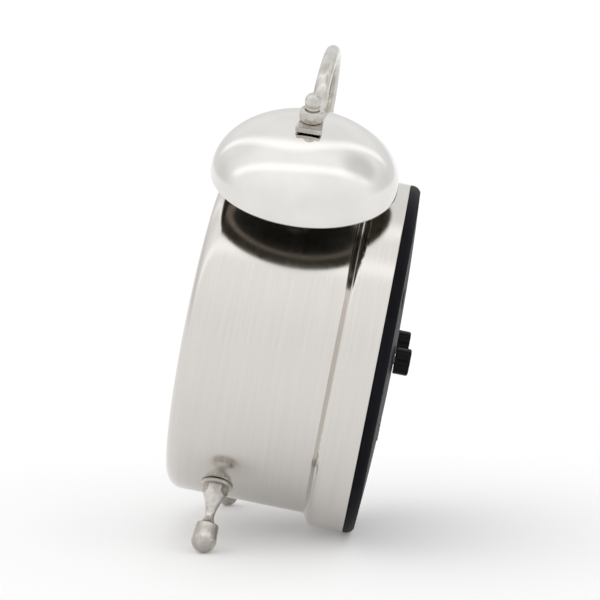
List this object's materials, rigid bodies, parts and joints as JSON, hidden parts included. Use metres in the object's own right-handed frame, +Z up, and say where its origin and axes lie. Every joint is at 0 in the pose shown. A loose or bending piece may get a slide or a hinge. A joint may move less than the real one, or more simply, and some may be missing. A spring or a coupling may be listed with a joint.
{
  "type": "twin bell alarm clock",
  "caption": "Drum-cased alarm clock on two slanted front feet, with a bell each side on top, a bar handle, a round dial and setting knobs behind.",
  "frame": {"origin": "middle of the clock's overall box, on the surface it stands on", "axes": "+Z up, the dial faces -Y and leans back 11 degrees, +X to the right of someone facing the dial"},
  "size_m": [0.0998, 0.0706, 0.1371],
  "materials": {
    "brushed_nickel": "satin nickel, brushed round the drum",
    "bell_nickel": "polished nickel plate",
    "trim_nickel": "polished nickel plate",
    "foot_nickel": "nickel plate on a zinc casting",
    "zinc_steel": "zinc plated steel",
    "spring_steel": "bare spring steel",
    "cover_black": "fine moulded texture",
    "knob_black": "gloss black",
    "gasket_rubber": "soft black",
    "window_glass": "clear",
    "ring_white": "matt off-white",
    "dial_white": "matt off-white",
    "hand_black": "satin black",
    "hand_silver": "brushed",
    "frame_plastic": "moulded",
    "movement_plastic": "moulded",
    "wheel_white": "moulded acetal",
    "brass": "turned",
    "magnet": "sintered",
    "core_steel": "bare",
    "copper": "enamelled wire",
    "board_green": "solder mask",
    "chip_black": "moulded",
    "cell_label": "plain sleeve"
  },
  "bodies": {
    "case": {"case_shell": "brushed_nickel", "back_cover": "cover_black", "cover_screws": "zinc_steel", "right_bell": "bell_nickel", "left_bell": "bell_nickel", "right_bell_post": "trim_nickel", "left_bell_post": "trim_nickel", "post_nuts": "zinc_steel", "finials": "trim_nickel", "handle": "trim_nickel", "right_foot": "foot_nickel", "left_foot": "foot_nickel", "foot_washers": "foot_nickel", "foot_nuts": "zinc_steel", "lens_gasket": "gasket_rubber", "lens": "window_glass", "dial_ring": "ring_white", "dial": "dial_white", "dial_nut": "brass", "chassis": "frame_plastic", "movement_front_case": "movement_plastic", "train_plate": "movement_plastic", "movement_rear_case": "movement_plastic", "stator": "core_steel", "coil_core": "core_steel", "coil": "copper", "circuit_board": "board_green", "driver_chip": "chip_black", "quartz_crystal": "zinc_steel", "striker_bracket": "zinc_steel", "bracket_screws": "zinc_steel", "striker_motor": "zinc_steel", "hammer_pivot": "zinc_steel", "battery": "cell_label", "battery_contacts": "spring_steel"},
    "minute": {"cannon_pinion": "brass", "minute_hand": "hand_black"},
    "minute_step": {"minute_wheel": "wheel_white"},
    "hour": {"hour_wheel": "wheel_white", "hour_hand": "hand_black"},
    "time_set": {"time_set_shaft": "wheel_white", "time_set_knob": "knob_black"},
    "seconds": {"seconds_wheel": "wheel_white", "second_hand": "hand_black"},
    "third": {"third_wheel": "wheel_white"},
    "centre": {"centre_wheel": "wheel_white"},
    "fifth": {"fifth_wheel": "wheel_white"},
    "step_rotor": {"rotor": "magnet"},
    "alarm": {"alarm_wheel": "wheel_white", "alarm_hand": "hand_silver"},
    "alarm_step": {"alarm_idler": "wheel_white"},
    "alarm_set": {"alarm_set_shaft": "wheel_white", "alarm_set_knob": "knob_black"},
    "crank": {"crank_wheel": "wheel_white"},
    "motor_shaft": {"motor_pinion": "brass"},
    "hammer": {"hammer_arm": "zinc_steel", "hammer_head": "trim_nickel"},
    "door": {"battery_door": "cover_black"},
    "switch": {"alarm_switch": "knob_black"}
  },
  "joints": [
    {"name": "minute_spin", "type": "hinge", "parent": "case", "child": "minute", "pos_m": [0, -0.01424, 0.05633], "axis": [0, 0.9816, -0.1908], "continuous": true},
    {"name": "minute_step_spin", "type": "hinge", "parent": "case", "child": "minute_step", "pos_m": [0.01293, -0.0084, 0.04973], "axis": [0, 0.9816, -0.1908], "continuous": true},
    {"name": "hour_spin", "type": "hinge", "parent": "case", "child": "hour", "pos_m": [0, -0.01228, 0.05595], "axis": [0, 0.9816, -0.1908], "continuous": true},
    {"name": "time_set_spin", "type": "hinge", "parent": "case", "child": "time_set", "pos_m": [0.024, 0.02956, 0.05108], "axis": [0, 0.9816, -0.1908], "continuous": true},
    {"name": "seconds_spin", "type": "hinge", "parent": "case", "child": "seconds", "pos_m": [0, -0.00639, 0.05481], "axis": [0, 0.9816, -0.1908], "continuous": true},
    {"name": "third_spin", "type": "hinge", "parent": "case", "child": "third", "pos_m": [-0.00148, -0.00087, 0.06226], "axis": [0, 0.9816, -0.1908], "continuous": true},
    {"name": "centre_spin", "type": "hinge", "parent": "case", "child": "centre", "pos_m": [0, -0.00443, 0.05442], "axis": [0, 0.9816, -0.1908], "continuous": true},
    {"name": "fifth_spin", "type": "hinge", "parent": "case", "child": "fifth", "pos_m": [-0.00846, -0.00011, 0.05045], "axis": [0, 0.9816, -0.1908], "continuous": true},
    {"name": "step_rotor_spin", "type": "hinge", "parent": "case", "child": "step_rotor", "pos_m": [-0.00998, 0.00119, 0.04142], "axis": [0, 0.9816, -0.1908], "continuous": true},
    {"name": "alarm_spin", "type": "hinge", "parent": "case", "child": "alarm", "pos_m": [0, -0.0113, 0.05576], "axis": [0, 0.9816, -0.1908], "continuous": true},
    {"name": "alarm_step_spin", "type": "hinge", "parent": "case", "child": "alarm_step", "pos_m": [-0.01488, -0.00969, 0.06143], "axis": [0, 0.9816, -0.1908], "continuous": true},
    {"name": "alarm_set_spin", "type": "hinge", "parent": "case", "child": "alarm_set", "pos_m": [-0.024, 0.02956, 0.05108], "axis": [0, 0.9816, -0.1908], "continuous": true},
    {"name": "crank_spin", "type": "hinge", "parent": "case", "child": "crank", "pos_m": [0, 0.00367, 0.08036], "axis": [0, 0.9816, -0.1908], "continuous": true},
    {"name": "motor_spin", "type": "hinge", "parent": "case", "child": "motor_shaft", "pos_m": [-0.01, 0.00367, 0.08036], "axis": [0, 0.9816, -0.1908], "continuous": true},
    {"name": "hammer_swing", "type": "hinge", "parent": "case", "child": "hammer", "pos_m": [0, 0.00238, 0.09181], "axis": [0, 0.9816, -0.1908], "range_deg": [-3.6, 3.6]},
    {"name": "door_lift", "type": "slide", "parent": "case", "child": "door", "axis": [0, 0.9816, -0.1908], "range_m": [0, 0.03]},
    {"name": "switch_slide", "type": "slide", "parent": "case", "child": "switch", "axis": [1, 0, 0], "range_m": [0, 0.0052]}
  ],
  "couplings": [
    {"joint": "minute_step_spin", "follows": "minute_spin", "ratio": -0.33333},
    {"joint": "hour_spin", "follows": "minute_spin", "ratio": 0.083333},
    {"joint": "time_set_spin", "follows": "minute_spin", "ratio": 1},
    {"joint": "third_spin", "follows": "seconds_spin", "ratio": -0.13333},
    {"joint": "centre_spin", "follows": "seconds_spin", "ratio": 0.016667},
    {"joint": "fifth_spin", "follows": "seconds_spin", "ratio": -5},
    {"joint": "step_rotor_spin", "follows": "seconds_spin", "ratio": 30},
    {"joint": "alarm_step_spin", "follows": "alarm_spin", "ratio": -1.6667},
    {"joint": "alarm_set_spin", "follows": "alarm_spin", "ratio": 2.8571},
    {"joint": "motor_spin", "follows": "crank_spin", "ratio": -4}
  ]
}
